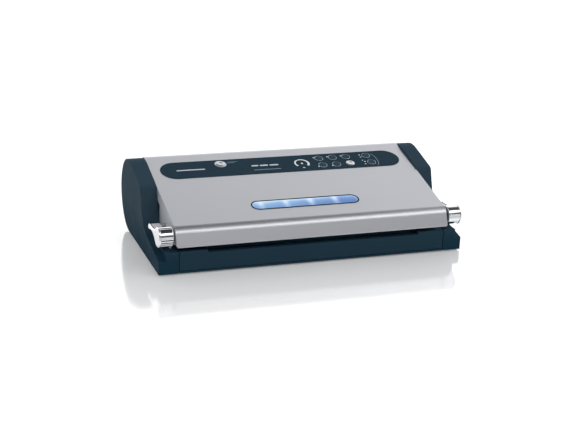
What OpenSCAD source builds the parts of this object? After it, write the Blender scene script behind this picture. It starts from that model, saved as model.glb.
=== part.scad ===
// Household vacuum sealer: low base between two end housings, thick steel-clad lid hinged at the rear.
// Frame: X across the width, -Y is the front, +Z up, origin on the floor at the centre of the footprint.

/* [Overall] */
// Width over the two end housings
overall_w = 420; // [400:1:440]
// Thickness of each end cheek
cheek_w = 22; // [20:0.5:24]
// Distance from the origin to the front face of the base
base_front = 110; // [109:0.5:111]
// Height of the base's front deck
deck_z = 31.2; // [31:0.1:31.4]
// Height that the feet lift the shell off the floor
foot_h = 2; // [1.8:0.1:2.2]

/* [Lid] */
// Slope of the lid's top
lid_pitch = 14.33; // [14.2:0.01:14.4]
// Thickness of the steel skin
skin_t = 1.2; // [1:0.1:1.4]
// Radius of the hinge barrel at the lid's rear
barrel_r = 15; // [14.8:0.1:15]
// Radius of the rounded nose
nose_r = 14; // [12:0.5:15]
// Height of the lid's lowest edge
lid_bottom_z = 36.5; // [36.4:0.1:37]
// Thickness of the lid over the rear housing
rear_thickness = 16; // [15.6:0.1:16]

/* [Controls] */
// Half of the control panel's width
panel_half_x = 174; // [170:1:176]
// Half of the control panel's height along the slope
panel_half_s = 21.1; // [20.5:0.1:21.5]
// Distance of the panel's centre line from the lid's rear edge, along the slope
panel_s = 37.6; // [37:0.1:38]
// Radius of the two solid buttons
button_r = 6.2; // [5.8:0.1:6.4]
// Radius of a ring key's cap
key_r = 5.2; // [4.8:0.1:5.3]
// How far a key or button can be pressed
key_travel = 1; // [0.8:0.1:1.1]

/* [Window] */
// Half of the lit window's width
window_half_x = 74.6; // [70:0.2:78]
// Half of the lit window's height along the slope
window_half_s = 9.4; // [9.2:0.1:11]
// Distance of the window's centre line from the lid's rear edge, along the slope
window_s = 136.3; // [134:0.1:137]

/* [Vacuum chamber] */
// Half of the trough's width
trough_half_x = 150; // [145:1:152]
// Centre line of the trough
trough_y = -50; // [-50.5:0.1:-49.5]
// Half of the trough's length from front to back
trough_half_y = 15; // [14:0.5:16]
// Half of the width that the bag entry takes out of the front edge
entry_half_x = 146; // [140:1:148]
// Height of the bag entry's floor
entry_z = 27.6; // [27:0.1:28]

/* [Levers] */
// Centre of the lever's grip, as [y, z]
grip_at = [-97.6, 48.3];
// Radius of the lever's end plate round the grip
grip_r = 13.3; // [13:0.1:13.4]
// Pivot of the lever, as [y, z]
lever_pivot = [-54, 48.2];

/* [Hidden] */

half_w = overall_w / 2;
cheek_in = half_w - cheek_w;
seam_x = cheek_in - 4;
fascia_half = seam_x - 0.8;
lid_half = cheek_in - 0.5;
housing_half = cheek_in - 0.3;
step_x = half_w - 9;
step_front_z = 18.9;

cheek_c = [62, 53];
cheek_r = cheek_c[1] - foot_h;
cheek_pitch = 15.5;
cheek_brow = [-4.8, 87.35];
cheek_front_a = 162.2;
cheek_wall = 3;

slope_top = [67, 103.7];
slope_n = 90 + lid_pitch;
hinge_s = 0;
front_a = 157.6;
lip_r = 2;
lip_c = [-111, lid_bottom_z + lip_r];
nose_corner = [-104.2, 60];
lid_wall_y = -21;
frame_gap = 0.15;
frame_t = 2.5;
frame_z = lid_bottom_z + skin_t + frame_gap;
housing_front = -19;
housing_r = cheek_r - 1;
housing_t = 2.5;
trough_gap = 1;

gasket_half = [162, 24];
gasket_w = 7;
groove = 1;
seal_y = -87.5;
meet_z = 34.25;
meet_gap = 0.15;

panel_top = 0.4;
panel_under = -2.4;
cap_top = 1.2;
flange_t = 1.2;
board_n = -6.5;
switch_top = panel_under - flange_t - key_travel - 0.3;

pin_r = 4;
bush_r = 6.5;
lever_pin_r = 2.5;
run_gap = 0.05;
lever_in = lid_half + 3;
arm_in = half_w - 15;
lever_out = half_w;
tail_r = 4.2;
cap_t = 3.2;

shaft_at = [45, 30];
shaft_r = 1.5;
floor_z = foot_h + 2.2;

// Where the mains cord passes the rear wall, as [x, z]
gland_at = [-150, 40];
gland_r = 5;

// Places of the round controls, as [x, distance down the slope from the lid's rear edge]
power_at = [-87.6, 27.8];
seal_at = [97.1, 46.4];
key_at = [[56, 28.2], [76.6, 27.8], [96.9, 27.8], [56, 46.4], [76.4, 46.4], [127.6, 27.8], [129.6, 46.4]];

smooth = 72;

// ---------- outlines ----------

function arc(c, r, a0, a1, n = 16) =
  [for (i = [0:n]) let (a = a0 + (a1 - a0) * i / n) c + r * [cos(a), sin(a)]];

function bezier(a, b, c, n = 10) =
  [for (i = [0:n]) let (t = i / n) (1 - t) * (1 - t) * a + 2 * t * (1 - t) * b + t * t * c];

// Centre of the arc of radius r that rounds the corner p between faces with normals a0 and a1
function round_c(p, a0, a1, r) =
  p - r / cos((a1 - a0) / 2) * [cos((a0 + a1) / 2), sin((a0 + a1) / 2)];

// Stadium outline about the origin, hx by hy half sizes
function stadium(hx, hy) = concat(
  arc([hx - hy, 0], hy, -90, 90, 24),
  arc([hy - hx, 0], hy, 90, 270, 24));

// Point on the slope at distance s from the rear edge and height n above the steel
function on_line(s, n = 0) =
  slope_top - s * [cos(lid_pitch), sin(lid_pitch)] + n * [-sin(lid_pitch), cos(lid_pitch)];

// Height of the line that lies n under the slope, at depth y
function under_slope(y, n) = slope_top[1] - (slope_top[0] - y) * tan(lid_pitch) - n / cos(lid_pitch);

hinge = on_line(hinge_s, -barrel_r);
nose_c = round_c(nose_corner, slope_n, front_a, nose_r);

// Section of the lid, inset by k
function lid_outline(k) = concat(
  arc(hinge, barrel_r - k, slope_n + acos((barrel_r - rear_thickness + k) / (barrel_r - k)),
    slope_n + 360, 40),
  arc(nose_c, nose_r - k, slope_n, front_a, 14),
  k < lip_r ? arc(lip_c, lip_r - k, front_a, 270, 8) : [round_c(lip_c, front_a, 270, k - lip_r)],
  [[lid_wall_y - k, lid_bottom_z + k],
   [lid_wall_y - k, under_slope(lid_wall_y - k, rear_thickness - k)]]);

// Section of an end housing: low deck at the front, tall round cheek at the rear
function cheek_outline() = concat(
  arc(cheek_c, cheek_r, -90, 90 + cheek_pitch, 48),
  arc(round_c(cheek_brow, 90 + cheek_pitch, cheek_front_a, 8), 8, 90 + cheek_pitch, cheek_front_a, 10),
  bezier([-12.9, 62], [-19, 36], [-46.7, deck_z], 12),
  [[-base_front, deck_z], [-base_front, foot_h]]);

// Hollow of an end housing, open at the bottom
function cheek_pocket() = concat(
  arc(cheek_c, cheek_r - cheek_wall, -90, 90 + cheek_pitch, 32),
  [[0, 83], [-9, 58], [-16, 40], [-30, 27], [-104, 13], [-104, -1], [cheek_c[0], -1]]);

// Section of the rear housing with its hinge trough, inset by k
function housing_outline(k) =
  let (tr = barrel_r + trough_gap + k,
       hr = housing_r - k,
       d = norm(hinge - cheek_c),
       dir = atan2(hinge[1] - cheek_c[1], hinge[0] - cheek_c[0]),
       hit = dir - acos((d * d + hr * hr - tr * tr) / (2 * d * hr)),
       meet = cheek_c + hr * [cos(hit), sin(hit)] - hinge,
       tip = k == 0 ? 9 : 0,
       lower = rear_thickness + 0.8 + k)
  concat(
    [[housing_front + k, foot_h + 3 - 5 * sign(k)], [housing_front + k, under_slope(housing_front + k, lower)]],
    arc(hinge, tr, slope_n + acos((barrel_r - lower) / tr), 360 + atan2(meet[1], meet[0]) - tip, 30),
    arc(cheek_c, hr, hit - tip, -90, 40),
    [[cheek_c[0], foot_h + 3 - 5 * sign(k)]]);

// Lever seen from the side, inset by k
function lever_outline(k) =
  let (heel = grip_at + (grip_r - k) * [cos(312), sin(312)],
       crown = grip_at + (grip_r - k) * [cos(54), sin(54)],
       tail = lever_pivot + (tail_r - k) * [cos(72), sin(72)])
  concat(
    arc(grip_at, grip_r - k, 54, 312, 48),
    bezier(heel, [-79.5, 46.8 + k], [-68, 46.6 + k], 10),
    arc(lever_pivot, tail_r - k, 262, 432, 20),
    bezier(tail, [-78, 50.5 - k], crown, 12));

// ---------- placing ----------

// Extrudes a [y, z] outline from x0 to x1
module across(x0, x1, outline) {
  translate([x0, 0, 0]) rotate([90, 0, 90]) linear_extrude(x1 - x0) polygon(outline);
}

module rod_x(x0, x1, r, at) {
  translate([x0, at[0], at[1]]) rotate([0, 90, 0]) cylinder(h = x1 - x0, r = r, $fn = smooth);
}

module both_sides() {
  children();
  mirror([1, 0, 0]) children();
}

// Local frame on the slope: y points up the slope, z away from the steel
module on_slope(x = 0, s = 0) {
  translate([0, slope_top[0], slope_top[1]]) rotate([lid_pitch, 0, 0]) translate([x, -s, 0]) children();
}

module block(x0, x1, y0, y1, z0, z1) {
  translate([x0, y0, z0]) cube([x1 - x0, y1 - y0, z1 - z0]);
}

// Flat stadium from height n0 to n1
module slab(hx, hy, n0, n1) {
  translate([0, 0, n0]) linear_extrude(n1 - n0) polygon(stadium(hx, hy));
}

module post(r, n0, n1) {
  translate([0, 0, n0]) cylinder(h = n1 - n0, r = r, $fn = smooth);
}

// ---------- base ----------

module end_housing() {
  difference() {
    union() {
      across(cheek_in, half_w, cheek_outline());
      block(seam_x, cheek_in, -base_front, housing_front - 0.2, foot_h, deck_z);
    }
    across(cheek_in + cheek_wall, half_w - cheek_wall, cheek_pocket());
    // outer ledge that falls towards the front
    across(step_x, half_w + 1, [
      [-46.7, deck_z], [-base_front - 1, step_front_z], [-base_front - 1, deck_z + 2], [-46.7, deck_z + 2]]);
    rod_x(cheek_in - 1, cheek_in + 6, pin_r, hinge);
  }
}

module left_end_housing() { color("#33434f") mirror([1, 0, 0]) end_housing(); }
module right_end_housing() { color("#33434f") end_housing(); }

module front_fascia() {
  color("#1c2f3c") difference() {
    block(-fascia_half, fascia_half, -base_front, -base_front + 4.2, foot_h + 3.1, deck_z);
    block(-entry_half_x, entry_half_x, -base_front - 1, -base_front + 6, entry_z, deck_z + 1);
  }
}

module gasket_ring(z0, z1, slack = 0) {
  translate([0, trough_y, 0]) difference() {
    slab(gasket_half[0] + slack, gasket_half[1] + slack, z0, z1);
    slab(gasket_half[0] - gasket_w - slack, gasket_half[1] - gasket_w - slack, z0 - 1, z1 + 1);
  }
}

module base_tray() {
  front = -base_front + 4.5;
  wall = 2;
  color("#22323d") difference() {
    union() {
      block(-fascia_half, fascia_half, front, housing_front - 0.2, deck_z - 3, deck_z);
      block(-fascia_half, fascia_half, front, front + wall, foot_h, deck_z);
      block(-fascia_half, fascia_half, -base_front, front + wall, foot_h, foot_h + 2.5);
      block(-entry_half_x - wall, entry_half_x + wall, front, -95, entry_z - 3, deck_z);
      block(-trough_half_x - wall, trough_half_x + wall, trough_y - trough_half_y - wall,
        trough_y + trough_half_y + wall, 12, deck_z);
      for (p = screw_at) if (p[1] < 0) translate(p) post(4, floor_z, deck_z - 2);
    }
    for (p = screw_at) translate(p) post(1.55, floor_z - 1, foot_h + 8.3);
    block(-entry_half_x, entry_half_x, -base_front - 1, -97, entry_z, deck_z + 1);
    block(-trough_half_x, trough_half_x, trough_y - trough_half_y, trough_y + trough_half_y, 14, deck_z + 1);
    gasket_ring(deck_z - groove, deck_z + 1);
    block(-150, 150, seal_y - 4.5, seal_y + 4.5, deck_z - groove, deck_z + 1);
    translate([3, trough_y + trough_half_y - 1, 20]) rotate([-90, 0, 0]) cylinder(h = 6, r = 2, $fn = smooth);
  }
}

module rear_housing() {
  bosses = [for (p = screw_at) if (p[1] > 0 && p[0] != 0) p];
  color("#22323d") difference() {
    union() {
      difference() {
        across(-housing_half, housing_half, housing_outline(0));
        across(-housing_half - 1, housing_half + 1, housing_outline(housing_t));
      }
      for (p = bosses) translate(p) post(4, floor_z, under_slope(p[1] - 4, rear_thickness + 1.1));
    }
    for (p = bosses) translate(p) post(1.55, floor_z - 1, foot_h + 8.3);
    for (i = [0:13], side = [-1, 1])
      translate([side * (60 + i * 6), 100, 30]) cube([2.4, 40, 26], center = true);
    translate([gland_at[0], 100, gland_at[1]]) rotate([-90, 0, 0]) cylinder(h = 30, r = gland_r + 0.05, $fn = smooth);
    translate([3, housing_front - 1, 20]) rotate([-90, 0, 0]) cylinder(h = housing_t + 2, r = 3.8, $fn = smooth);
  }
}

screw_at = [for (x = [-160, 0, 160], y = [-92, 45]) [x, y]];
foot_at = [for (x = [-168, 168], y = [-78, 30]) [x, y]];

module bottom_plate() {
  color("#1b2228") difference() {
    block(-fascia_half + 0.5, fascia_half - 0.5, -base_front + 7, cheek_c[0] - 3, foot_h, floor_z);
    for (p = screw_at) translate(p) {
      post(3.1, foot_h - 1, foot_h + 1.25);
      post(1.6, foot_h, foot_h + 4);
    }
    for (p = foot_at) translate(p) post(3.05, foot_h - 1, foot_h + 4);
  }
}

// Closes the underside of an end housing
module end_cover() {
  color("#1b2228") block(cheek_in + cheek_wall + 0.2, half_w - cheek_wall - 0.2, -103.8, cheek_c[0] - 0.2,
    foot_h + 0.2, floor_z);
}

module left_end_cover() { mirror([1, 0, 0]) end_cover(); }
module right_end_cover() { end_cover(); }

module drip_tray() {
  hx = trough_half_x - 0.7;
  hy = trough_half_y - 0.7;
  t = 1.2;
  color("#51606b") difference() {
    block(-hx, hx, trough_y - hy, trough_y + hy, 14.2, deck_z - 4);
    block(-hx + t, hx - t, trough_y - hy + t, trough_y + hy - t, 14.2 + t, deck_z);
  }
}

module lower_gasket() { color("#15181a") gasket_ring(deck_z - groove, meet_z - meet_gap); }

module counter_strip() {
  color("#8e2f26") block(-149.8, 149.8, seal_y - 4.3, seal_y + 4.3, deck_z - groove, meet_z - meet_gap);
}

module feet() {
  color("#151515") for (p = foot_at) translate(p) {
    post(9, 0, foot_h);
    post(3, foot_h, foot_h + 3.5);
  }
}

module base_screws() {
  color("silver") for (p = screw_at) translate(p) difference() {
    union() {
      post(3, foot_h + 0.3, foot_h + 1.25);
      post(1.5, foot_h + 1.25, foot_h + 8);
    }
    for (a = [0, 90]) rotate([0, 0, a]) translate([0, 0, foot_h + 0.4]) cube([3.4, 0.8, 0.9], center = true);
  }
}

module hinge_pins() {
  color("silver") both_sides() {
    rod_x(cheek_in - 8, cheek_in + 6, pin_r, hinge);
    rod_x(cheek_in + cheek_wall, cheek_in + cheek_wall + 2, pin_r + 3, hinge);
  }
}

module catch_post() {
  color("#9aa3aa") across(cheek_in + 2.2, cheek_in + 4.4, [
    [-96, deck_z], [-88, deck_z], [-88, 34], [-89.5, 36.4], [-93, 36.4], [-94.5, 35.2], [-96, 34]]);
}

module left_catch() { mirror([1, 0, 0]) catch_post(); }
module right_catch() { catch_post(); }

module cord_gland() {
  color("#101010") translate([gland_at[0], 101.5, gland_at[1]]) rotate([-90, 0, 0]) difference() {
    union() {
      cylinder(h = 11.2, r = gland_r, $fn = smooth);
      cylinder(h = 3, r = gland_r + 2, $fn = smooth);
    }
    translate([0, 0, -1]) cylinder(h = 14, r = 3.2, $fn = smooth);
  }
}

module pump_head() {
  color("#3a3f44") difference() {
    union() {
      block(-18, 24, 28, 62, 12, 48);
      block(-16, 22, 32, 58, floor_z, 12);
      for (y = [36, 54]) translate([3, y, 0]) post(7, 48, 53);
    }
    rod_x(-19, -4, shaft_r + 0.3, shaft_at);
    translate([0, 45, 0]) post(1.55, floor_z - 1, foot_h + 8.3);
    translate([3, 27, 20]) rotate([-90, 0, 0]) cylinder(h = 6, r = 2, $fn = smooth);
  }
}

module pump_motor() {
  color("#b9bdc1") difference() {
    union() {
      rod_x(-68, -18, 16, shaft_at);
      rod_x(-71, -68, 5, shaft_at);
    }
    rod_x(-72, -17, shaft_r + run_gap, shaft_at);
  }
}

module motor_shaft() { color("silver") rod_x(-90, -6, shaft_r, shaft_at); }

module cooling_fan() {
  color("#20262b") difference() {
    union() {
      rod_x(-88, -80, 4, shaft_at);
      for (a = [0:60:300])
        translate([-84, shaft_at[0], shaft_at[1]]) rotate([a, 0, 0]) translate([-3, -0.7, 3]) cube([6, 1.4, 13]);
    }
    rod_x(-89, -79, shaft_r, shaft_at);
  }
}

module transformer_core() {
  color("#4a4d50") difference() {
    block(85, 141, 24, 48, floor_z, 52);
    for (x = [94, 122]) block(x, x + 10, 23, 49, 14, 44);
  }
}

module transformer_coil() {
  color("#b0662c") difference() {
    block(94.2, 131.8, 16, 56, 14.2, 43.8);
    block(104, 122, 24, 48, 13, 45);
  }
}

module release_valve() {
  color("#d8d2b8") translate([-120, 25, 0]) {
    post(9, floor_z, 30);
    post(3, 30, 38);
  }
}

module vacuum_tube() {
  front = trough_y + trough_half_y + 2;
  color("#c9c4b0") translate([3, front, 20]) rotate([-90, 0, 0]) difference() {
    cylinder(h = 28 - front, r = 3.5, $fn = smooth);
    translate([0, 0, -1]) cylinder(h = 30 - front, r = 2, $fn = smooth);
  }
}

// ---------- lid ----------

// Rounds the lower outer corner of the nose, seen from the front
module nose_corner_cut(r = 4) {
  difference() {
    block(lid_half - r, lid_half + 1, -120, -98, lid_bottom_z - 1, lid_bottom_z + r);
    translate([lid_half - r, -121, lid_bottom_z + r]) rotate([-90, 0, 0]) cylinder(h = 24, r = r, $fn = smooth);
  }
}

module lid_cover() {
  inner = lid_half - skin_t;
  color("#b4b5b9") difference() {
    across(-lid_half, lid_half, lid_outline(0));
    across(-inner, inner, lid_outline(skin_t));
    // leaves the skin open below, behind a short return flange under the nose
    across(-inner, inner, [
      [-104, lid_bottom_z - 2], [-104, lid_bottom_z + 6], [lid_wall_y - 6, under_slope(lid_wall_y - 6, 8)],
      on_line(16, -8), hinge, hinge + 20 * [cos(10), sin(10)], hinge + 24 * [cos(-60), sin(-60)],
      [40, 50], [0, lid_bottom_z - 2]]);
    both_sides() nose_corner_cut();
    on_slope(0, panel_s) slab(panel_half_x + 0.15, panel_half_s + 0.15, -4, 4);
    on_slope(0, window_s) slab(window_half_x + 1.3, window_half_s + 1.3, -4, 4);
    rod_x(-lid_half - 1, lid_half + 1, bush_r + 0.1, hinge);
    rod_x(-lid_half - 1, lid_half + 1, lever_pin_r + 0.1, lever_pivot);
  }
}

module lid_frame() {
  inset = skin_t + frame_gap;
  half = lid_half - inset;
  rib = half - frame_t;
  color("#2a3640") difference() {
    union() {
      difference() {
        across(-half, half, lid_outline(inset));
        across(-rib, rib, lid_outline(inset + frame_t));
        // the steel closes the top, so the frame stays open there
        across(-rib, rib, [
          lip_c + [8, 8], on_line(166, -6), on_line(158, 3), on_line(0, 3), hinge + [18, 4], hinge, on_line(30, -8)]);
      }
    }
    gasket_ring(frame_z - 1, frame_z + groove);
    rod_x(-half - 1, half + 1, bush_r, hinge);
    rod_x(-half - 1, half + 1, lever_pin_r, lever_pivot);
    block(-entry_half_x, entry_half_x, trough_y - 8, trough_y + 8, frame_z - 1, frame_z + 1.2);
  }
}

module control_panel() {
  color("#23384a") difference() {
    on_slope(0, panel_s) slab(panel_half_x, panel_half_s, panel_under, panel_top);
    for (p = [power_at, seal_at]) on_slope(p[0], p[1]) post(button_r + 0.3, -4, 2);
    for (p = key_at) on_slope(p[0], p[1]) post(key_r + 1.1, -4, 2);
    for (p = light_at) on_slope(p[0], p[1]) post(light_r, -4, 2);
  }
}

module key_rings() {
  color("#d5d9dc") for (p = key_at) on_slope(p[0], p[1]) difference() {
    post(key_r + 1.1, panel_under, panel_top + 0.3);
    post(key_r + 0.4, panel_under - 1, panel_top + 1);
  }
}

// One status light beside each key
light_at = [for (p = key_at) p + (p[0] > 120 ? [-9.2, -2.2] : p[1] < 40 ? [-7, -2.7] : [-6.8, 3.1])];
light_r = 0.9;

module indicator_lights() {
  color("white") for (p = light_at) on_slope(p[0], p[1]) post(light_r, -4, panel_top + 0.2);
}

module window_bezel() {
  color("#1a2a3a") on_slope(0, window_s) difference() {
    slab(window_half_x + 1.2, window_half_s + 1.2, -3, 0.5);
    slab(window_half_x - 0.4, window_half_s - 0.4, -4, 2);
  }
}

module window_lens() {
  color("#78a0dc") on_slope(0, window_s) slab(window_half_x - 0.45, window_half_s - 0.45, -2.6, 0.1);
}

module light_board() {
  color("#e8e8e0") on_slope(0, window_s) translate([0, 0, -9]) cube([140, 12, 1.6], center = true);
}

module light_leds() {
  color("#dff4ff") for (i = [-2:2]) on_slope(i * 28, window_s) translate([0, 0, -7.5]) cube([5, 4, 1.4], center = true);
}

module circuit_board() {
  color("#1f6b43") on_slope(0, panel_s) translate([0, 0, board_n - 0.8]) cube([300, 36, 1.6], center = true);
}

module key_switches() {
  color("#2b2b2b") for (p = concat([power_at, seal_at], key_at)) on_slope(p[0], p[1]) {
    translate([0, 0, board_n + 0.5]) cube([6, 6, 1], center = true);
    post(1.7, board_n + 1, switch_top);
  }
}

module upper_gasket() { color("#15181a") gasket_ring(meet_z + meet_gap, frame_z + groove); }

module seal_bar() { color("#30363b") block(-152, 152, seal_y - 5.5, seal_y + 5.5, meet_z + 0.7, frame_z); }

module heating_element() {
  color("#c9c9c9") block(-150, 150, seal_y - 1.5, seal_y + 1.5, meet_z + 0.45, meet_z + 0.7);
}

module ptfe_tape() {
  color("#6b4a2c") block(-151, 151, seal_y - 4.5, seal_y + 4.5, meet_z + 0.2, meet_z + 0.45);
}

module hinge_bushes() {
  color("#d9d4c4") both_sides() difference() {
    rod_x(lid_half - 6, lid_half - 0.1, bush_r, hinge);
    rod_x(lid_half - 8, lid_half + 1, pin_r + run_gap, hinge);
  }
}

module lever_pins() {
  color("silver") both_sides() rod_x(lid_half - 6, lever_out - cap_t - 1, lever_pin_r, lever_pivot);
}

module lid_screws() {
  color("silver") for (x = [-176, 176], y = [-96, -32]) translate([x, y, 0]) difference() {
    post(3, frame_z - 1.3, frame_z);
    for (a = [0, 90]) rotate([0, 0, a]) translate([0, 0, frame_z - 1.2]) cube([3.4, 0.8, 1.4], center = true);
  }
}

// ---------- levers ----------

module lever() {
  out = lever_out - cap_t;
  color("#c8ccd0") difference() {
    union() {
      across(arm_in, out, lever_outline(0.7));
      rod_x(lever_in, arm_in + 1, grip_r - 0.9, grip_at);
    }
    // clears the catch post
    block(lever_in - 1, cheek_in + 5.6, grip_at[0] - 20, grip_at[0] + 12, 20, 38);
    rod_x(lever_in - 1, out + 1, lever_pin_r + run_gap, lever_pivot);
    for (a = [118:22:228])
      rod_x(lever_in + 2.5, out + 1, 1.1, grip_at + (grip_r - 0.3) * [cos(a), sin(a)]);
  }
}

module lever_cap() { color("#e6e8ea") across(lever_out - cap_t, lever_out, lever_outline(0)); }

module left_lever() { mirror([1, 0, 0]) lever(); }
module right_lever() { lever(); }
module left_lever_cap() { mirror([1, 0, 0]) lever_cap(); }
module right_lever_cap() { lever_cap(); }

// ---------- controls ----------

module press(at, r) {
  on_slope(at[0], at[1]) {
    post(r, panel_under - 0.1, cap_top);
    post(r + 0.9, panel_under - 0.1 - flange_t, panel_under - 0.1);
  }
}

module power_button() { color("#c9cdd0") press(power_at, button_r); }
module seal_button() { color("#c9cdd0") press(seal_at, button_r); }
module program_key() { color("#2a4154") press(key_at[0], key_r); }
module seal_time_key() { color("#2a4154") press(key_at[1], key_r); }
module dry_food_key() { color("#2a4154") press(key_at[2], key_r); }
module soft_food_key() { color("#2a4154") press(key_at[3], key_r); }
module canister_key() { color("#2a4154") press(key_at[4], key_r); }
module pulse_key() { color("#2a4154") press(key_at[5], key_r); }
module stop_key() { color("#2a4154") press(key_at[6], key_r); }

left_end_housing();
right_end_housing();
front_fascia();
base_tray();
rear_housing();
bottom_plate();
left_end_cover();
right_end_cover();
drip_tray();
lower_gasket();
counter_strip();
feet();
base_screws();
hinge_pins();
left_catch();
right_catch();
cord_gland();
pump_head();
pump_motor();
transformer_core();
transformer_coil();
release_valve();
vacuum_tube();
motor_shaft();
cooling_fan();
lid_cover();
lid_frame();
control_panel();
key_rings();
indicator_lights();
window_bezel();
window_lens();
light_board();
light_leds();
circuit_board();
key_switches();
upper_gasket();
seal_bar();
heating_element();
ptfe_tape();
hinge_bushes();
lever_pins();
lid_screws();
left_lever();
left_lever_cap();
right_lever();
right_lever_cap();
power_button();
seal_button();
program_key();
seal_time_key();
dry_food_key();
soft_food_key();
canister_key();
pulse_key();
stop_key();
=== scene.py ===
"""Vacuum sealer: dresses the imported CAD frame, adds the printed marks and lights the studio."""
import math

import bmesh
import bpy
from mathutils import Matrix, Vector


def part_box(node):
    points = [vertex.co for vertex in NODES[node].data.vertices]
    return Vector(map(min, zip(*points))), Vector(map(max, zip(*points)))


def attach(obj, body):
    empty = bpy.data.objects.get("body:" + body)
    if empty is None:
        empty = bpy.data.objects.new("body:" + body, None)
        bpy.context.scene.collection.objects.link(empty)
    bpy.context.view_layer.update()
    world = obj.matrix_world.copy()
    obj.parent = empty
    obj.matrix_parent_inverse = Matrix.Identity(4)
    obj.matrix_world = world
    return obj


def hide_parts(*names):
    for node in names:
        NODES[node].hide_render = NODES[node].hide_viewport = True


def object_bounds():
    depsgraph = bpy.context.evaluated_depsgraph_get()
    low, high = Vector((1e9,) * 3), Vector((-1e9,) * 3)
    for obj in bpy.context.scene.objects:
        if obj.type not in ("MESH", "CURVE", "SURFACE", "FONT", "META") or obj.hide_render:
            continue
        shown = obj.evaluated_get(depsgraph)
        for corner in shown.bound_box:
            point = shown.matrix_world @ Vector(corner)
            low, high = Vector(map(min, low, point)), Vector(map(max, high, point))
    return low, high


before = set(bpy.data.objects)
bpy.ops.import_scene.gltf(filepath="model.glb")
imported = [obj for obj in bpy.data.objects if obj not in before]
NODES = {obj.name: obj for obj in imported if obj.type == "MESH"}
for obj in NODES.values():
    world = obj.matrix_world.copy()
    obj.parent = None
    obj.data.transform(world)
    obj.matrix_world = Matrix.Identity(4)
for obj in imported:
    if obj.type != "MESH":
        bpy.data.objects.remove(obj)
CAD_LOW, CAD_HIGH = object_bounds()
MM = 0.001

# ---------------------------------------------------------------- camera

CAM_PLACE = Vector((-0.5584, -1.5448, 0.5799))
CAM_YAW, CAM_PITCH, CAM_ROLL = (math.radians(a) for a in (20.12, 18.72, 2.31))
CAM_LENS = 76.9


def make_camera():
    """Camera at CAM_PLACE, turned right of +Y by the yaw, down by the pitch, and rolled."""
    forward = Vector((
        math.sin(CAM_YAW) * math.cos(CAM_PITCH),
        math.cos(CAM_YAW) * math.cos(CAM_PITCH),
        -math.sin(CAM_PITCH)))
    level_right = Vector((math.cos(CAM_YAW), -math.sin(CAM_YAW), 0))
    level_up = level_right.cross(forward)
    right = math.cos(CAM_ROLL) * level_right + math.sin(CAM_ROLL) * level_up
    up = math.cos(CAM_ROLL) * level_up - math.sin(CAM_ROLL) * level_right
    data = bpy.data.cameras.new("camera")
    data.lens = CAM_LENS
    data.sensor_width = 36
    data.clip_end = 50
    camera = bpy.data.objects.new("camera", data)
    turn = Matrix((right, up, -forward)).transposed().to_4x4()
    camera.matrix_world = Matrix.Translation(CAM_PLACE) @ turn
    bpy.context.scene.collection.objects.link(camera)
    bpy.context.scene.camera = camera


make_camera()

# ---------------------------------------------------------------- materials

NOISE_ROUGHNESS = 0.55
# Heights in metres between which a housing's painted shade near the floor, darker and bluer, gives way
# to its own colour above
FLOOR_SHADE_HEIGHTS = (0.016, 0.05)
WEAVE_PITCH = 9000
LENS_GLOW = 0.82
LAMP_FIRST, LAMP_PITCH = 0.0074, 0.0347
# Colours up the lens, from its lower rim at 0 to its upper one at 1, on its left and on its right; the
# darker blues at the lower rim are painted shadow
LENS_LEFT = (
    (0.0, (104, 120, 152)), (0.12, (122, 152, 190)), (0.35, (130, 170, 206)), (0.6, (150, 186, 216)),
    (0.8, (190, 218, 236)), (0.9, (230, 250, 255)), (1.0, (190, 214, 228)),
)
LENS_RIGHT = (
    (0.0, (88, 104, 138)), (0.12, (92, 120, 168)), (0.35, (86, 120, 176)), (0.6, (104, 140, 192)),
    (0.8, (142, 172, 210)), (0.9, (172, 196, 226)), (1.0, (146, 166, 188)),
)
FLOOR_GLOW = 0.2


def srgb(r, g, b):
    """Linear colour of an 8-bit display colour."""
    def one(v):
        v /= 255
        return v / 12.92 if v <= 0.04045 else ((v + 0.055) / 1.055) ** 2.4
    return (one(r), one(g), one(b), 1.0)


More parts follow.
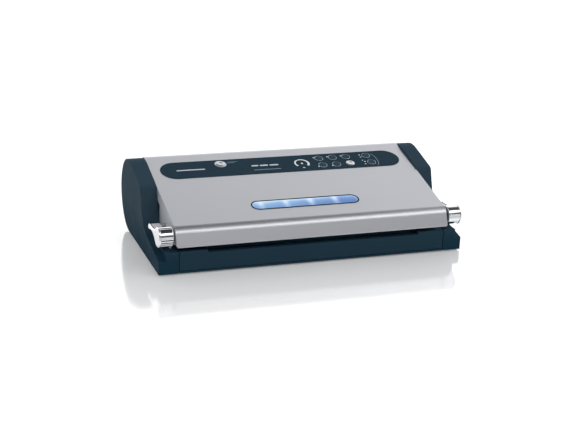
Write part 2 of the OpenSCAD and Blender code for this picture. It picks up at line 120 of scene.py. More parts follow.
class Paint:
    """A node material with one Principled shader, and helpers that add texture to it."""

    def __init__(self, name, color, roughness, **values):
        self.material = bpy.data.materials.new(name)
        self.material.use_nodes = True
        self.tree = self.material.node_tree
        self.shader = self.tree.nodes["Principled BSDF"]
        self.color = color
        self.set("Base Color", color)
        self.set("Roughness", roughness)
        for key, value in values.items():
            self.set(key.replace("_", " ").title().replace("Ior", "IOR"), value)
        self.coordinates = self.tree.nodes.new("ShaderNodeTexCoord").outputs["Object"]

    def set(self, socket, value):
        self.shader.inputs[socket].default_value = value

    def link(self, a, b):
        self.tree.links.new(a, b)

    def stretch(self, scale):
        """Object coordinates stretched by scale along each axis."""
        node = self.tree.nodes.new("ShaderNodeMapping")
        node.inputs["Scale"].default_value = scale
        self.link(self.coordinates, node.inputs["Vector"])
        return node.outputs["Vector"]

    def noise(self, scale, detail=3.0, along=(1, 1, 1)):
        node = self.tree.nodes.new("ShaderNodeTexNoise")
        node.inputs["Scale"].default_value = scale
        node.inputs["Detail"].default_value = detail
        node.inputs["Roughness"].default_value = NOISE_ROUGHNESS
        self.link(self.stretch(along), node.inputs["Vector"])
        return node.outputs["Fac"]

    def remap(self, value, low, high, from_low=0.3, from_high=0.7):
        """Takes from_low..from_high, most of a noise's range, to low..high."""
        node = self.tree.nodes.new("ShaderNodeMapRange")
        node.inputs["From Min"].default_value = from_low
        node.inputs["From Max"].default_value = from_high
        node.inputs["To Min"].default_value = low
        node.inputs["To Max"].default_value = high
        self.link(value, node.inputs["Value"])
        return node.outputs["Result"]

    def blend(self, factor, color_a, color_b):
        node = self.tree.nodes.new("ShaderNodeMix")
        node.data_type = "RGBA"
        self.link(factor, node.inputs["Factor"])
        node.inputs["A"].default_value = color_a
        node.inputs["B"].default_value = color_b
        return node.outputs["Result"]

    def vary_roughness(self, value, low, high):
        self.link(self.remap(value, low, high), self.shader.inputs["Roughness"])

    def vary_color(self, value, spread, low=0.3, high=0.7):
        """Lets the colour drift by spread either way."""
        dark = tuple(c * (1 - spread) for c in self.color[:3]) + (1.0,)
        light = tuple(min(1.0, c * (1 + spread)) for c in self.color[:3]) + (1.0,)
        mixed = self.blend(self.remap(value, 0, 1, low, high), dark, light)
        self.link(mixed, self.shader.inputs["Base Color"])

    def bump(self, value, strength, distance):
        node = self.tree.nodes.new("ShaderNodeBump")
        node.inputs["Strength"].default_value = strength
        node.inputs["Distance"].default_value = distance
        self.link(value, node.inputs["Height"])
        self.link(node.outputs["Normal"], self.shader.inputs["Normal"])

    def dot(self, direction):
        """How far along a direction a point lies, in metres."""
        node = self.tree.nodes.new("ShaderNodeVectorMath")
        node.operation = "DOT_PRODUCT"
        self.link(self.coordinates, node.inputs[0])
        node.inputs[1].default_value = direction
        return node.outputs["Value"]

    def math(self, operation, a, b=None):
        node = self.tree.nodes.new("ShaderNodeMath")
        node.operation = operation
        for socket, value in zip(node.inputs, (a, b)):
            if value is None:
                continue
            if isinstance(value, (int, float)):
                socket.default_value = value
            else:
                self.link(value, socket)
        return node.outputs["Value"]


def moulded_plastic(name, color, roughness=0.42, grain=0.12, shine=0.5, floor_shade_color=None):
    """Spark-eroded moulding: fine even grain and faint cloudiness in the gloss.

    Where the last colour is given, the colour turns to it low down, as painted shade near the floor."""
    p = Paint(name, color, roughness, specular_ior_level=shine)
    p.bump(p.noise(2600, 2.0), grain, 0.00004)
    p.vary_roughness(p.noise(45, 3.0), roughness - 0.05, roughness + 0.06)
    # Painted shade: low down the colour turns darker and bluer, blended in by height
    if floor_shade_color:
        height = p.math("ADD", p.dot((0, 0, 1)), p.remap(p.noise(14, 2.0), -0.003, 0.003))
        mixed = p.blend(p.remap(height, 0, 1, *FLOOR_SHADE_HEIGHTS), floor_shade_color, color)
        p.link(mixed, p.shader.inputs["Base Color"])
    else:
        p.vary_color(p.noise(14, 2.0), 0.05)
    return p.material


def brushed_steel(name, color, roughness=0.3, along=(0.02, 1, 1), strength=0.04, metallic=1.0):
    """Satin steel with fine drawn lines along one axis."""
    p = Paint(name, color, roughness, metallic=metallic)
    lines = p.noise(8000, 2.0, along)
    broad = p.noise(1500, 3.0, along)
    p.bump(lines, strength, 0.00002)
    p.vary_roughness(broad, roughness - 0.02, roughness + 0.03)
    p.vary_color(broad, 0.012)
    return p.material


def plated_chrome(name, color, roughness=0.07):
    """Bright plating with a faint haze that comes and goes."""
    p = Paint(name, color, roughness, metallic=1.0)
    p.vary_roughness(p.noise(60, 4.0), roughness - 0.02, roughness + 0.04)
    p.bump(p.noise(1400, 2.0), 0.02, 0.00001)
    p.vary_color(p.noise(25, 2.0), 0.02)
    return p.material


def foam_rubber(name, color, cell=1900, strength=0.5, roughness=0.85):
    """Rubber with a fine cell texture: cell is its scale and strength its depth."""
    p = Paint(name, color, roughness)
    cells = p.tree.nodes.new("ShaderNodeTexVoronoi")
    cells.inputs["Scale"].default_value = cell
    p.link(p.coordinates, cells.inputs["Vector"])
    p.bump(cells.outputs["Distance"], strength, 0.0001)
    p.vary_color(p.noise(300, 3.0), 0.25)
    p.vary_roughness(p.noise(120, 2.0), roughness - 0.08, roughness + 0.08)
    return p.material


def coated_cloth(name, color):
    """Glass cloth under a coating: a fine plain weave."""
    p = Paint(name, color, 0.35)
    across = p.math("SINE", p.math("MULTIPLY", p.dot((1, 0, 0)), WEAVE_PITCH))
    along = p.math("SINE", p.math("MULTIPLY", p.dot((0, 1, 0)), WEAVE_PITCH))
    weave = p.math("MULTIPLY", across, along)
    p.bump(weave, 0.3, 0.00005)
    p.vary_color(weave, 0.12, -0.6, 0.6)
    return p.material


def lit_lens(name):
    """Frosted diffuser over a row of lamps: brightest under its upper rim, bluer below and right, with
    painted shadow darkening its lower rim.
    """
    low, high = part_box("window_lens")
    up_slope = Vector((0, high.y - low.y, high.z - low.z)).normalized()
    middle = (low + high) / 2
    half = Vector((0, high.y - low.y, high.z - low.z)).length / 2
    p = Paint(name, srgb(42, 76, 128), 0.25, specular_ior_level=0.2)
    height = p.math("DIVIDE", p.math("SUBTRACT", p.dot(up_slope), up_slope.dot(middle)), half)
    cloud = p.remap(p.noise(90, 3.0, (0.5, 1, 1)), -0.05, 0.05)
    height = p.math("ADD", p.remap(height, 0, 1, -1, 1), cloud)

    def ramp(stops):
        node = p.tree.nodes.new("ShaderNodeValToRGB")
        for element, (place, color) in zip(node.color_ramp.elements, (stops[0], stops[-1])):
            element.position = place
            element.color = srgb(*color)
        for place, color in stops[1:-1]:
            node.color_ramp.elements.new(place).color = srgb(*color)
        p.link(height, node.inputs["Fac"])
        return node.outputs["Color"]

    def mix(factor, one, other):
        node = p.tree.nodes.new("ShaderNodeMix")
        node.data_type = "RGBA"
        p.link(factor, node.inputs["Factor"])
        for socket, value in (("A", one), ("B", other)):
            if isinstance(value, tuple):
                node.inputs[socket].default_value = value
            else:
                p.link(value, node.inputs[socket])
        return node.outputs["Result"]

    left, right = ramp(LENS_LEFT), ramp(LENS_RIGHT)
    sideways = p.math("ADD", p.dot((1, 0, 0)), p.remap(p.noise(30, 2.0), -0.012, 0.012))
    color = mix(p.remap(sideways, 0, 1, -0.05, 0.06), left, right)
    from_first = p.math("SUBTRACT", p.dot((1, 0, 0)), LAMP_FIRST)
    wave = p.math("COSINE", p.math("MULTIPLY", from_first, 2 * math.pi / LAMP_PITCH))
    lamps = p.math("POWER", p.remap(wave, 0, 1, -1, 1), 7)
    glow = p.math("MULTIPLY", lamps, p.remap(height, 0.3, 1.0, 0.3, 0.8))
    p.link(mix(glow, color, srgb(232, 248, 255)), p.shader.inputs["Emission Color"])
    p.set("Emission Strength", LENS_GLOW)
    p.bump(p.noise(700, 2.0), 0.05, 0.0001)
    return p.material


def glowing(name, color, strength):
    """Lit plastic, slightly uneven in its glow."""
    p = Paint(name, color, 0.3, emission_strength=strength)
    dim = tuple(0.85 * c for c in color[:3]) + (1.0,)
    p.link(p.blend(p.remap(p.noise(900, 2.0), 0, 1), color, dim), p.shader.inputs["Emission Color"])
    return p.material


def floor_paint(name):
    """Pale glossy floor with a little light of its own."""
    p = Paint(name, (0.93, 0.93, 0.935, 1.0), 0.12,
              specular_ior_level=1.0, coat_weight=1.0, coat_roughness=0.1)
    p.vary_roughness(p.noise(3, 2.0), 0.1, 0.14)
    p.set("Emission Color", (1.0, 1.0, 1.0, 1.0))
    p.set("Emission Strength", FLOOR_GLOW)
    return p.material


MATERIALS = {
    # End housings: darker and bluer near the floor as painted shade
    "end_housing": moulded_plastic(
        "end_housing_plastic", srgb(50, 69, 82), 0.46, 0.12, 0.004, srgb(28, 54, 69)),
    "base": moulded_plastic("base_plastic", srgb(33, 57, 71), 0.4, 0.12, 0.04),
    "frame": moulded_plastic("frame_plastic", srgb(36, 42, 48), 0.5),
    "tray": moulded_plastic("tray_plastic", srgb(84, 98, 108), 0.45),
    "nylon": moulded_plastic("nylon", srgb(214, 217, 219), 0.45),
    "panel": moulded_plastic("panel_plastic", srgb(40, 60, 73), 0.35, 0.06, 0.006),
    "key": moulded_plastic("key_plastic", srgb(42, 64, 78), 0.35, 0.06, 0.03),
    "silver": plated_chrome("silver_button", srgb(205, 208, 212), 0.3),
    "steel": brushed_steel("steel_skin", srgb(191, 193, 198), 0.39, strength=0.05, metallic=0.97),
    "steel_side": brushed_steel("steel_side", srgb(200, 203, 208), 0.42, (1, 0.05, 1), 0.04, 0.3),
    "steel_part": brushed_steel("steel_part", srgb(168, 170, 174), 0.28, (1, 1, 0.05)),
    "motor": brushed_steel("motor_metal", srgb(172, 175, 179), 0.35, (0.05, 1, 1)),
    "ring": moulded_plastic("ring_trim", srgb(166, 184, 194), 0.35, 0.05, 0.3),
    "chrome": plated_chrome("lever_chrome", srgb(226, 228, 231)),
    "satin": brushed_steel("lever_satin", srgb(214, 214, 219), 0.45, (0.05, 1, 1), 0.02, 0.2),
    # Painted shade laid along the lever grips' grooves, where the chrome shows dark reflections
    "groove": moulded_plastic("lever_groove", srgb(66, 70, 78), 0.4, 0.1, 0.2),
    "rubber": foam_rubber("rubber", srgb(24, 26, 28)),
    "silicone": foam_rubber("silicone", srgb(132, 44, 36), 900, 0.15, 0.55),
    "tube": foam_rubber("tube", srgb(205, 200, 184), 700, 0.08, 0.4),
    "tape": coated_cloth("tape", srgb(122, 88, 58)),
    "copper": brushed_steel("copper", srgb(190, 110, 62), 0.35, (0.05, 1, 1)),
    "pcb": moulded_plastic("pcb", srgb(30, 96, 62), 0.35),
    "lens": lit_lens("lens"),
    "led": glowing("led", srgb(225, 245, 255), 2.0),
    "mark": glowing("white_mark", srgb(232, 238, 242), 0.35),
    "print": moulded_plastic("print", srgb(232, 238, 242), 0.5),
    "pale_print": moulded_plastic("pale_print", srgb(200, 210, 218), 0.5),
    "dim_print": moulded_plastic("dim_print", srgb(104, 124, 138), 0.5),
}

# The CAD nodes that wear each finish
DRESS = {
    "end_housing": ("left_end_housing", "right_end_housing", "rear_housing"),
    "base": ("front_fascia", "base_tray"),
    "frame": ("bottom_plate", "left_end_cover", "right_end_cover", "pump_head", "cooling_fan",
              "lid_frame", "key_switches", "seal_bar"),
    "tray": ("drip_tray",),
    "nylon": ("left_catch", "right_catch", "release_valve", "light_board", "hinge_bushes"),
    "panel": ("control_panel", "window_bezel"),
    "key": ("program_key", "seal_time_key", "dry_food_key", "soft_food_key", "canister_key",
            "pulse_key", "stop_key"),
    "silver": ("power_button", "seal_button"),
    "steel": ("lid_cover",),
    "steel_part": ("base_screws", "hinge_pins", "transformer_core", "motor_shaft",
                   "heating_element", "lever_pins", "lid_screws"),
    "motor": ("pump_motor",),
    "ring": ("key_rings",),
    "chrome": ("left_lever", "left_lever_cap", "right_lever", "right_lever_cap"),
    "rubber": ("lower_gasket", "upper_gasket", "feet", "cord_gland"),
    "silicone": ("counter_strip",),
    "tube": ("vacuum_tube",),
    "tape": ("ptfe_tape",),
    "copper": ("transformer_coil",),
    "pcb": ("circuit_board",),
    "lens": ("window_lens",),
    "led": ("light_leds",),
    "mark": ("indicator_lights",),
}

# Edge rounding of CAD nodes, in mm, where it isn't PLAIN_EDGE
PLAIN_EDGE = 0.25
EDGE = {
    "left_end_housing": 1.0, "right_end_housing": 1.0, "rear_housing": 0.5, "front_fascia": 0.6,
    "base_tray": 0.4, "lid_cover": 0.35, "control_panel": 0.3, "window_bezel": 0.3, "window_lens": 0.4,
    "left_lever": 0.5, "right_lever": 0.5, "left_lever_cap": 0.9, "right_lever_cap": 0.9,
    "power_button": 0.7, "seal_button": 0.7, "feet": 0.5, "drip_tray": 0.3, "counter_strip": 0.8,
    "lower_gasket": 0.8, "upper_gasket": 0.8, "seal_bar": 0.5, "lid_frame": 0.4, "cord_gland": 0.6,
    "key_rings": 0.15,
}

# Corners closer than WELD metres are one; edges under FLAT are dropped; edges over CREASE are rounded
WELD = 0.000002
FLAT = math.radians(0.3)
CREASE = math.radians(28)


def soften(piece, edge, weights=False):
    """Rounds a piece's edges by modifiers, and keeps its flat faces flat in shading.

    With weights, the mesh is already welded and says how far each edge is rounded."""
    for face in piece.data.polygons:
        face.use_smooth = True
    if not weights:
        weld = piece.modifiers.new("weld", "WELD")
        weld.merge_threshold = WELD
        flat = piece.modifiers.new("flat_faces", "DECIMATE")
        flat.decimate_type = "DISSOLVE"
        flat.angle_limit = FLAT
    bevel = piece.modifiers.new("soft_edges", "BEVEL")
    bevel.width = edge * MM
    bevel.segments = 4 if weights else 3
    bevel.limit_method = "WEIGHT" if weights else "ANGLE"
    bevel.angle_limit = CREASE
    bevel.material = 0 if weights else -1
    bevel.use_clamp_overlap = True
    shade = piece.modifiers.new("flat_shading", "WEIGHTED_NORMAL")
    shade.mode = "FACE_AREA"
    shade.weight = 100
    shade.keep_sharp = False


def dress(node, material, edge):
    """Gives a CAD node its material and softens its edges."""
    piece = NODES[node]
    piece.data.materials.clear()
    piece.data.materials.append(material)
    soften(piece, edge)


def recut(node, body, material, width_of, widest, side=None):
    """A piece that replaces a CAD node: same form, its edges rounded by width_of(middle, normals) mm.

    Where a side material is given, the faces across x wear it."""
    bm = bmesh.new()
    bm.from_mesh(NODES[node].data)
    bmesh.ops.remove_doubles(bm, verts=bm.verts, dist=WELD)
    bmesh.ops.dissolve_limit(bm, angle_limit=FLAT, verts=bm.verts, edges=bm.edges)
    layer = bm.edges.layers.float.new("bevel_weight_edge")
    for edge in bm.edges:
        if len(edge.link_faces) != 2 or edge.calc_face_angle(0) < CREASE:
            continue
        middle = (edge.verts[0].co + edge.verts[1].co) / 2 / MM
        edge[layer] = width_of(middle, [f.normal for f in edge.link_faces]) / widest
    if side:
        for face in bm.faces:
            face.material_index = 1 if abs(face.normal.x) > 0.9 else 0
    mesh = bpy.data.meshes.new(node + "_skin")
    bm.to_mesh(mesh)
    bm.free()
    mesh.materials.append(material)
    if side:
        mesh.materials.append(side)
    piece = bpy.data.objects.new(node + "_skin", mesh)
    bpy.context.scene.collection.objects.link(piece)
    soften(piece, widest, weights=True)
    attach(piece, body)
    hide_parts(node)


for finish, names in DRESS.items():
    for name in names:
        dress(name, MATERIALS[finish], EDGE.get(name, PLAIN_EDGE))

# ---------------------------------------------------------------- rounded skins

HALF_W = max(abs(CAD_LOW.x), abs(CAD_HIGH.x)) / MM
LID_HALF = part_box("lid_cover")[1].x / MM
LID_ROUND = 2.2
SHOULDER_ROUND = 8.0


def cover_edges(at, normals):
    """Lid skin: full round along both ends, fine ones round the openings and along the lips."""
    if abs(at.x) > LID_HALF - 0.1 and max(abs(n.x) for n in normals) > 0.9:
        outer = any(abs(n.x) < 0.5 and (n.z > 0.05 or n.y < -0.5) for n in normals)
        return LID_ROUND if outer and at.y > -110 else 0.4
    return 0.3


def cheek_edges(at, normals):
    """End housing: a wide round over the outer shoulder, narrower down the crease and near the floor."""
    if abs(at.x) < HALF_W - 0.1:
        inner = any(abs(n.x) > 0.9 for n in normals) and at.z > 60
        return 1.6 if inner else 0.7
    # Over the top, easing off down the back
    if at.y > 0 or at.z > 62:
        rise = min(1, max(0, (at.z - 14) / 50))
        return 1.4 + 6.6 * rise * rise * (3 - 2 * rise)
    # Down the crease in front
    if at.y > -46 and at.z > 31:
        return 1.6 + 2.4 * max(0, (at.z - 31) / 31)
    return 1.3


recut("lid_cover", "lid", MATERIALS["steel"], cover_edges, LID_ROUND,
      side=MATERIALS["steel_side"])
for housing in ("left_end_housing", "right_end_housing"):
    recut(housing, "base", MATERIALS["end_housing"], cheek_edges, SHOULDER_ROUND)

# ---------------------------------------------------------------- levers

# Centres as (y, z) and radii, then the inner ends along x, the end plate's thickness, how far the grip
# lies inside the plate's rim, and the flat under the grip's inner end, up to NOTCH_END: all in mm
GRIP, GRIP_R = (-97.6, 48.3), 13.3
PIVOT, TAIL_R = (-54, 48.2), 4.2
ARM_IN, GRIP_IN = HALF_W - 15, 190.6
PLATE = 3.2
GRIP_INSET = 0.6
NOTCH_Z, NOTCH_END = 38.2, 194
GRIP_STEPS = 180
GRIP_STEP = 360 / GRIP_STEPS
GROOVE_HALF = 5.4
# Half-width in degrees of each strip of painted shade along a groove, to which the groove's depth is
# added
GROOVE_SHADE_REACH = 1.6


def around(center, radius, start, stop, count):
    """Points of an arc in count steps, angles in degrees."""
    angles = [math.radians(start + (stop - start) * i / count) for i in range(count + 1)]
    return [(center[0] + radius * math.cos(a), center[1] + radius * math.sin(a)) for a in angles]


def bend(a, b, c, count):
    """Inner points of a curve from a to c, pulled towards b."""
    points = []
    for i in range(1, count):
        t = i / count
        points.append(tuple((1 - t) ** 2 * p + 2 * t * (1 - t) * q + t * t * r
                            for p, q, r in zip(a, b, c)))
    return points


def lever_outline(k, core=0):
    """Lever from the side as (y, z) points, k inside its full outline and core more round the grip."""
    grip = around(GRIP, GRIP_R - k - core, 54, 312, 54)
    tail = around(PIVOT, TAIL_R - k, 262, 432, 18)
    waist = (-68, 46.6 + k)
    below = bend(grip[-1], (-79.5, 46.8 + k), waist, 10)
    above = bend(tail[-1], (-78, 50.5 - k), grip[0], 14)
    return grip + below + [waist] + tail + above


def grip_outline(radius, grooves):
    """Section of the grip: a round with fine grooves, each an angle in degrees and a depth."""
    points = []
    for i in range(GRIP_STEPS):
        a = GRIP_STEP * i
        r = radius - sum(depth * max(0, 1 - ((a - at) / GROOVE_HALF) ** 2) for at, depth in grooves)
        points.append((GRIP[0] + r * math.cos(math.radians(a)), GRIP[1] + r * math.sin(math.radians(a))))
    return points


def add_shell(bm, side, rings, index, dark=()):
    """Closed shell of material index through rings of (x, outline), its strips of painted shade in
    material 2.
    """
    loops = [[bm.verts.new((side * x * MM, y * MM, z * MM)) for y, z in outline] for x, outline in rings]
    faces = [bm.faces.new(loops[0]), bm.faces.new(list(reversed(loops[-1])))]
    for one, two in zip(loops, loops[1:]):
        for i in range(len(one)):
            j = (i + 1) % len(one)
            faces.append(bm.faces.new((one[j], one[i], two[i], two[j])))
            faces[-1].material_index = 2 if i in dark else index
    for face in faces[:2]:
        face.material_index = index
    for face in faces:
        face.smooth = face not in faces[:2]


def lever_skin(name, side, grooves):
    """Chromed lever: grooved grip with painted shade along its grooves, satin arm and a round-edged end
    plate set off by a fine gap.
    """
    bm = bmesh.new()
    plate = HALF_W - PLATE

    def section(k):
        return grip_outline(GRIP_R - GRIP_INSET - k, grooves)

    def notched(k):
        return [(y, max(z, NOTCH_Z)) for y, z in section(k)]

    add_shell(bm, side, [
        (ARM_IN, lever_outline(1.9, 2)), (ARM_IN + 0.3, lever_outline(1.2, 2)),
        (ARM_IN + 0.9, lever_outline(0.9, 2)), (ARM_IN + 1.3, lever_outline(0.9, 2)),
        (plate - 0.4, lever_outline(0.9, 2)), (plate - 0.1, lever_outline(0.9, 2)),
    ], 1)
    rim = ((0, 0.8), (0.1, 0.35), (0.4, 0.05), (0.8, 0), (1.4, 0.1), (2, 0.4), (2.5, 0.9), (2.9, 1.6),
           (3.1, 2.2), (PLATE, 2.8))
    add_shell(bm, side, [(plate + x, lever_outline(k)) for x, k in rim], 0)
    # Faces in and beside each groove wear painted shade, standing for the dark reflections in the flutes
    dark = {i for i in range(GRIP_STEPS) for at, depth in grooves
            if abs((i + 0.5) * GRIP_STEP - at) < GROOVE_SHADE_REACH + depth}
    add_shell(bm, side, [
        (GRIP_IN, notched(0.9)), (GRIP_IN + 0.15, notched(0.45)), (GRIP_IN + 0.45, notched(0.12)),
        (GRIP_IN + 0.9, notched(0)), (GRIP_IN + 1.2, notched(0)),
        (NOTCH_END - 0.4, notched(0)), (NOTCH_END - 0.1, notched(0)),
        (NOTCH_END, section(0)), (NOTCH_END + 0.3, section(0)),
        (plate - 0.4, section(0)), (plate - 0.1, section(0)),
    ], 0, dark)
    piece = piece_from(bm, name + "_skin", MATERIALS["chrome"], name)
    piece.data.materials.append(MATERIALS["satin"])
    piece.data.materials.append(MATERIALS["groove"])
    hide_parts(name, name + "_cap")


def piece_from(bm, name, material, body):
    """Makes bm into a piece that rides on a body and takes its finish from a slot."""
    bmesh.ops.recalc_face_normals(bm, faces=bm.faces)
    mesh = bpy.data.meshes.new(name)
    bm.to_mesh(mesh)
    bm.free()
    mesh.materials.append(material)
    piece = bpy.data.objects.new(name, mesh)
    bpy.context.scene.collection.objects.link(piece)
    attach(piece, body)
    return piece


lever_skin("left_lever", -1, [(107, 0.4), (159, 1.4), (185, 0.5), (203, 1.1), (223, 1.1)])
lever_skin("right_lever", 1, [(157, 1.2)])

# ---------------------------------------------------------------- marks on the control panel

PITCH = math.radians(14.33)
SLOPE_TOP = Vector((0, 0.067, 0.1037))
DOWN = Vector((0, -math.cos(PITCH), -math.sin(PITCH)))
OUT = Vector((0, -math.sin(PITCH), math.cos(PITCH)))
# Heights over the steel, in mm: the panel's face, and the print from just inside it
PANEL_TOP = 0.4
PRINT = (PANEL_TOP - 0.05, PANEL_TOP + 0.08)
ARC_STEPS = 40
LATHE_STEPS = 48


def on_slope(x, s, n):
    """Point at x across, s down the slope and n above the steel, all in mm."""
    return SLOPE_TOP + MM * (x * Vector((1, 0, 0)) + s * DOWN + n * OUT)


def add_plate(bm, outline, low, high):
    """Thin plate with a closed outline of (x, s) points, between heights low and high."""
    top = [bm.verts.new(on_slope(x, s, high)) for x, s in outline]
    bottom = [bm.verts.new(on_slope(x, s, low)) for x, s in outline]
    bm.faces.new(top)
    bm.faces.new(list(reversed(bottom)))
    count = len(outline)
    for i in range(count):
        j = (i + 1) % count
        bm.faces.new((top[j], top[i], bottom[i], bottom[j]))


def bar(x, s, width, height):
    """Bar with round ends, centred at x, s."""
    r = height / 2
    points = []
    for side, start in ((1, -90), (-1, 90)):
        for i in range(9):
            a = math.radians(start + 22.5 * i)
            points.append((x + side * (width / 2 - r) + r * math.cos(a), s - r * math.sin(a)))
    return points


def ring_part(x, s, inner, outer, start, stop):
    """Arc-shaped band, angles in degrees, 90 points up the slope."""
    angles = [math.radians(start + (stop - start) * i / ARC_STEPS) for i in range(ARC_STEPS + 1)]
    rim = [(x + outer * math.cos(a), s - outer * math.sin(a)) for a in angles]
    return rim + [(x + inner * math.cos(a), s - inner * math.sin(a)) for a in reversed(angles)]


def tapered_arc(x, s, outer, at_stop, at_start, start, stop):
    """Arc-shaped band that goes from one width at start to another at stop, angles in degrees."""
    angles = [start + (stop - start) * i / ARC_STEPS for i in range(ARC_STEPS + 1)]
    rim = [(x + outer * math.cos(math.radians(a)), s - outer * math.sin(math.radians(a)))
           for a in angles]
    inside = []
    for a in reversed(angles):
        r = outer - at_start - (at_stop - at_start) * (a - start) / (stop - start)
        inside.append((x + r * math.cos(math.radians(a)), s - r * math.sin(math.radians(a))))
    return rim + inside


def stroke(points, width):
    """Band of constant width along a line of points."""
    left, right = [], []
    for i, (x, s) in enumerate(points):
        x0, s0 = points[max(i - 1, 0)]
        x1, s1 = points[min(i + 1, len(points) - 1)]
        length = math.hypot(x1 - x0, s1 - s0)
        nx, ns = -(s1 - s0) / length * width / 2, (x1 - x0) / length * width / 2
        left.append((x + nx, s + ns))
        right.append((x - nx, s - ns))
    return left + list(reversed(right))


# Middle of the gauge, and the curve beside the right-hand keys, as (x, s)
GAUGE = (27.4, 38.8)
CURVE = [(134 + 6.3 * math.cos(math.radians(a)), 40 + 16 * math.sin(math.radians(a)))
         for a in range(-75, 81, 10)]


def print_piece(name, material, shapes):
    """Print on the control panel: a thin plate for each (x, s) outline."""
    bm = bmesh.new()
    for shape in shapes:
        add_plate(bm, shape, *PRINT)
    piece_from(bm, name, MATERIALS[material], "lid")


print_piece("panel_print", "print", [
    # gauge: two stretches of a broad band, a middle dot and a pip below
    tapered_arc(*GAUGE, 10.9, 1.9, 3.2, -42, 112), tapered_arc(*GAUGE, 10.9, 2.6, 1.9, 118, 219),
    ring_part(*GAUGE, 0, 1.7, 0, 359.9), bar(GAUGE[0] - 0.3, GAUGE[1] + 11.2, 3.4, 1.7),
])
print_piece("panel_bars", "pale_print", [
    # plain bars in place of words
    bar(-132, 38.4, 40, 2.4),
    bar(-41, 37.4, 10, 3.2), bar(-28, 37.7, 12, 3.2), bar(-13.5, 38, 13, 3.2),
    # short strokes beside the right-hand keys
    bar(118.4, 31.4, 2.4, 1.6), bar(118.0, 40.4, 2.2, 1.7), bar(119, 50.4, 2.4, 1.7),
])
print_piece("panel_fine_print", "dim_print", [
    bar(-25.7, 48.7, 39, 1.7),
    bar(-70, 23.6, 15, 1.1), bar(-72.5, 26.2, 10, 0.8),
    stroke(CURVE, 1.0),
])


def lathe_on_slope(name, at, profile, body):
    """Round silver piece on the slope, centred at (x, s), from (radius, height) points in mm."""

    def corner(r, n, i):
        turn = 2 * math.pi * i / LATHE_STEPS
        return on_slope(at[0] + r * math.cos(turn), at[1] + r * math.sin(turn), n)

    bm = bmesh.new()
    loops = []
    for r, n in profile:
        count = LATHE_STEPS if r else 1
        loops.append([bm.verts.new(corner(r, n, i)) for i in range(count)])
    for one, two in zip(loops, loops[1:]):
        for i in range(LATHE_STEPS):
            j = (i + 1) % LATHE_STEPS
            corners = [one[i % len(one)], one[j % len(one)], two[j % len(two)], two[i % len(two)]]
            bm.faces.new([v for k, v in enumerate(corners) if v not in corners[:k]])
    for face in bm.faces:
        face.smooth = True
    piece_from(bm, name, MATERIALS["silver"], body)


# Middles of the two round buttons as (x, s), and the profiles of their faces and of a collar
POWER, SEAL = (-87.6, 27.8), (97.1, 46.4)
DISHED = ((0, 1.22), (1.5, 1.24), (2.3, 1.4), (3.0, 1.66), (4.3, 1.72), (5.4, 1.55), (6.0, 1.3),
          (6.15, 1.16), (0, 1.16))
COLLAR = ((6.65, 0.36), (6.65, 0.7), (7.0, 0.92), (7.6, 0.86), (8.0, 0.62), (8.1, 0.36), (6.65, 0.36))

lathe_on_slope("power_face", POWER, DISHED, "power_button")
lathe_on_slope("seal_face", SEAL, DISHED, "seal_button")
lathe_on_slope("power_collar", POWER, COLLAR, "lid")

# ---------------------------------------------------------------- studio

FLOOR_SIZE = 12
# Brightness of the tent by height, from the horizon at 0 to the zenith at 1: a pale wall behind, a soft
# box high in front, and dark straight overhead
TENT_REAR = ((0.0, 0.74), (0.3, 0.68), (0.55, 0.56), (0.69, 0.54), (0.77, 0.46), (0.83, 0.04),
             (0.93, 0.02), (1.0, 0.02))
TENT_FRONT = ((0.0, 0.46), (0.12, 0.2), (0.42, 0.06), (0.56, 0.24), (0.64, 1.3), (0.78, 1.3),
              (0.84, 0.05), (1.0, 0.02))
TENT_LEVEL = 2.1
# How much brighter the tent is on its right, and half the depth over which its front turns to its rear
TENT_RIGHT = 0.3
TENT_TURN = 0.35


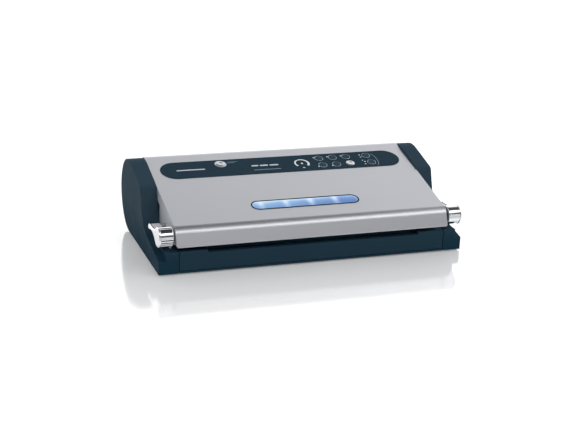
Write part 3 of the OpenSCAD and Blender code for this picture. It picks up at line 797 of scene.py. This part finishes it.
def make_floor():
    """Flat floor that the object stands on."""
    bm = bmesh.new()
    bmesh.ops.create_grid(bm, x_segments=1, y_segments=1, size=FLOOR_SIZE)
    mesh = bpy.data.meshes.new("floor")
    bm.to_mesh(mesh)
    bm.free()
    mesh.materials.append(floor_paint("floor"))
    floor = bpy.data.objects.new("floor", mesh)
    bpy.context.scene.collection.objects.link(floor)


def make_world():
    """Studio tent round the object, its brightness set by height, by depth and a little by side."""
    world = bpy.data.worlds.new("studio")
    world.use_nodes = True
    tree = world.node_tree
    background = tree.nodes["Background"]
    parts = tree.nodes.new("ShaderNodeSeparateXYZ")
    tree.links.new(tree.nodes.new("ShaderNodeTexCoord").outputs["Generated"], parts.inputs["Vector"])

    def ramp(source, stops):
        node = tree.nodes.new("ShaderNodeValToRGB")
        node.color_ramp.interpolation = "EASE"
        for element, (place, level) in zip(node.color_ramp.elements, (stops[0], stops[-1])):
            element.position = place
            element.color = (level,) * 3 + (1,)
        for place, level in stops[1:-1]:
            node.color_ramp.elements.new(place).color = (level,) * 3 + (1,)
        tree.links.new(source, node.inputs["Fac"])
        return node.outputs["Color"]

    depth = tree.nodes.new("ShaderNodeMapRange")
    depth.interpolation_type = "SMOOTHSTEP"
    depth.inputs["From Min"].default_value = -TENT_TURN
    depth.inputs["From Max"].default_value = TENT_TURN
    tree.links.new(parts.outputs["Y"], depth.inputs["Value"])
    tent = tree.nodes.new("ShaderNodeMix")
    tent.data_type = "RGBA"
    tree.links.new(depth.outputs["Result"], tent.inputs["Factor"])
    tree.links.new(ramp(parts.outputs["Z"], TENT_FRONT), tent.inputs["A"])
    tree.links.new(ramp(parts.outputs["Z"], TENT_REAR), tent.inputs["B"])
    tree.links.new(tent.outputs["Result"], background.inputs["Color"])
    sideways = tree.nodes.new("ShaderNodeMapRange")
    sideways.inputs["From Min"].default_value = -1
    sideways.inputs["To Min"].default_value = TENT_LEVEL * (1 - TENT_RIGHT)
    sideways.inputs["To Max"].default_value = TENT_LEVEL * (1 + TENT_RIGHT)
    tree.links.new(parts.outputs["X"], sideways.inputs["Value"])
    tree.links.new(sideways.outputs["Result"], background.inputs["Strength"])
    bpy.context.scene.world = world


make_floor()
make_world()
bpy.context.scene.view_settings.view_transform = "Standard"
